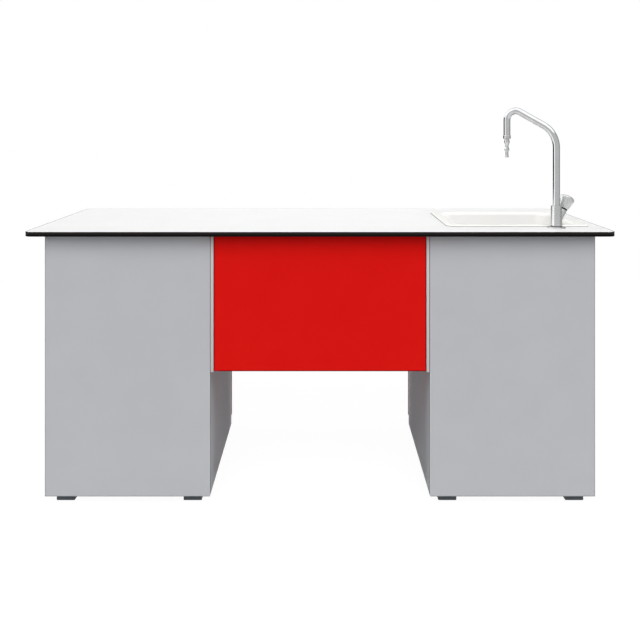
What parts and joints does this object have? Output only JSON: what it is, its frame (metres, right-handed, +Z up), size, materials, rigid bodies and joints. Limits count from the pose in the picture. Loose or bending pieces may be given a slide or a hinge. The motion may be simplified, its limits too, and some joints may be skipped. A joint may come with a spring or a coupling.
{
  "type": "laboratory table",
  "caption": "Demonstration laboratory table: thin worktop on two door cabinets, red modesty panel, inset sink, bottle trap and swan-neck tap with a hose nozzle.",
  "frame": {"origin": "On the floor under the middle of the whole table's box, which runs from the worktop's public edge to the front of the door and drawer pulls.", "axes": "+X along the table towards the sink end, +Y from the public side (modesty panel) to the user's side (doors), +Z up."},
  "size_m": [1.8, 0.767, 1.2261],
  "materials": {
    "white_laminate": "white solid-core laminate with a dark edge, satin",
    "grey_laminate": "light grey melamine-faced board, fine matt texture",
    "red_laminate": "bright red melamine-faced board, fine matt texture",
    "slate_plastic": "dark slate moulded plastic, matt",
    "light_grey_steel": "light grey powder coat",
    "cream_polypropylene": "off-white moulded polypropylene, satin",
    "white_plastic": "white moulded plastic",
    "satin_chrome": "bright chrome plating on brass",
    "brushed_steel": "brushed stainless steel",
    "hinge_steel": "zinc-plated steel sheet",
    "black_ring": "black ring, matt",
    "drawer_grey": "pale grey melamine-faced board"
  },
  "bodies": {
    "carcass": {"worktop": "white_laminate", "dry_outer_side": "grey_laminate", "dry_inner_side": "grey_laminate", "dry_public_panel": "grey_laminate", "dry_bottom": "grey_laminate", "dry_plinth_rail": "grey_laminate", "dry_top_rail_public": "grey_laminate", "dry_top_rail_user": "grey_laminate", "dry_divider_rail": "grey_laminate", "dry_shelf": "grey_laminate", "wet_outer_side": "grey_laminate", "wet_inner_side": "grey_laminate", "wet_public_panel": "grey_laminate", "wet_bottom": "grey_laminate", "wet_plinth_rail": "grey_laminate", "wet_top_rail_public": "grey_laminate", "wet_top_rail_user": "grey_laminate", "dry_foot_public_left": "slate_plastic", "dry_foot_public_right": "slate_plastic", "dry_foot_user_left": "slate_plastic", "dry_foot_user_right": "slate_plastic", "wet_foot_public_left": "slate_plastic", "wet_foot_public_right": "slate_plastic", "wet_foot_user_left": "slate_plastic", "wet_foot_user_right": "slate_plastic", "modesty_panel": "red_laminate", "panel_angle_left": "light_grey_steel", "panel_angle_right": "light_grey_steel", "sink": "cream_polypropylene", "sink_waste": "brushed_steel", "waste_locknut": "white_plastic", "trap_union_nut": "white_plastic", "trap_body": "white_plastic", "trap_cup": "white_plastic", "tap_flange": "satin_chrome", "tap_body": "satin_chrome", "tap_backnut": "satin_chrome", "valve_ring": "black_ring", "wet_hinge_low_fixed": "hinge_steel", "wet_hinge_high_fixed": "hinge_steel", "dry_hinge_low_fixed": "hinge_steel", "dry_hinge_high_fixed": "hinge_steel", "drawer_runner_left": "hinge_steel", "drawer_runner_right": "hinge_steel"},
    "wet_door_leaf": {"wet_door": "red_laminate", "wet_door_pull": "brushed_steel", "wet_hinge_low_door": "hinge_steel", "wet_hinge_high_door": "hinge_steel"},
    "dry_door_leaf": {"dry_door": "red_laminate", "dry_door_pull": "brushed_steel", "dry_hinge_low_door": "hinge_steel", "dry_hinge_high_door": "hinge_steel"},
    "drawer": {"drawer_front": "red_laminate", "drawer_pull": "brushed_steel", "drawer_box": "drawer_grey", "drawer_rail_left": "hinge_steel", "drawer_rail_right": "hinge_steel"},
    "swan_neck": {"spout": "satin_chrome", "hose_nozzle": "satin_chrome"},
    "hand_knob": {"valve_knob": "satin_chrome"}
  },
  "joints": [
    {"name": "wet_door_hinge", "type": "hinge", "parent": "carcass", "child": "wet_door_leaf", "pos_m": [0.8538, 0.33435, 0.4415], "axis": [0, 0, -1], "range_deg": [0, 170]},
    {"name": "dry_door_hinge", "type": "hinge", "parent": "carcass", "child": "dry_door_leaf", "pos_m": [-0.8538, 0.33435, 0.37], "axis": [0, 0, 1], "range_deg": [0, 170]},
    {"name": "drawer_slide", "type": "slide", "parent": "carcass", "child": "drawer", "axis": [0, 1, 0], "range_m": [0, 0.35]},
    {"name": "spout_swivel", "type": "hinge", "parent": "carcass", "child": "swan_neck", "pos_m": [0.746, -0.2735, 0.916], "axis": [0, 0, 1], "continuous": true},
    {"name": "valve_turn", "type": "hinge", "parent": "carcass", "child": "hand_knob", "pos_m": [0.746, -0.2735, 0.8495], "axis": [0.4096, 0.2868, 0.866], "range_deg": [0, 180]}
  ]
}
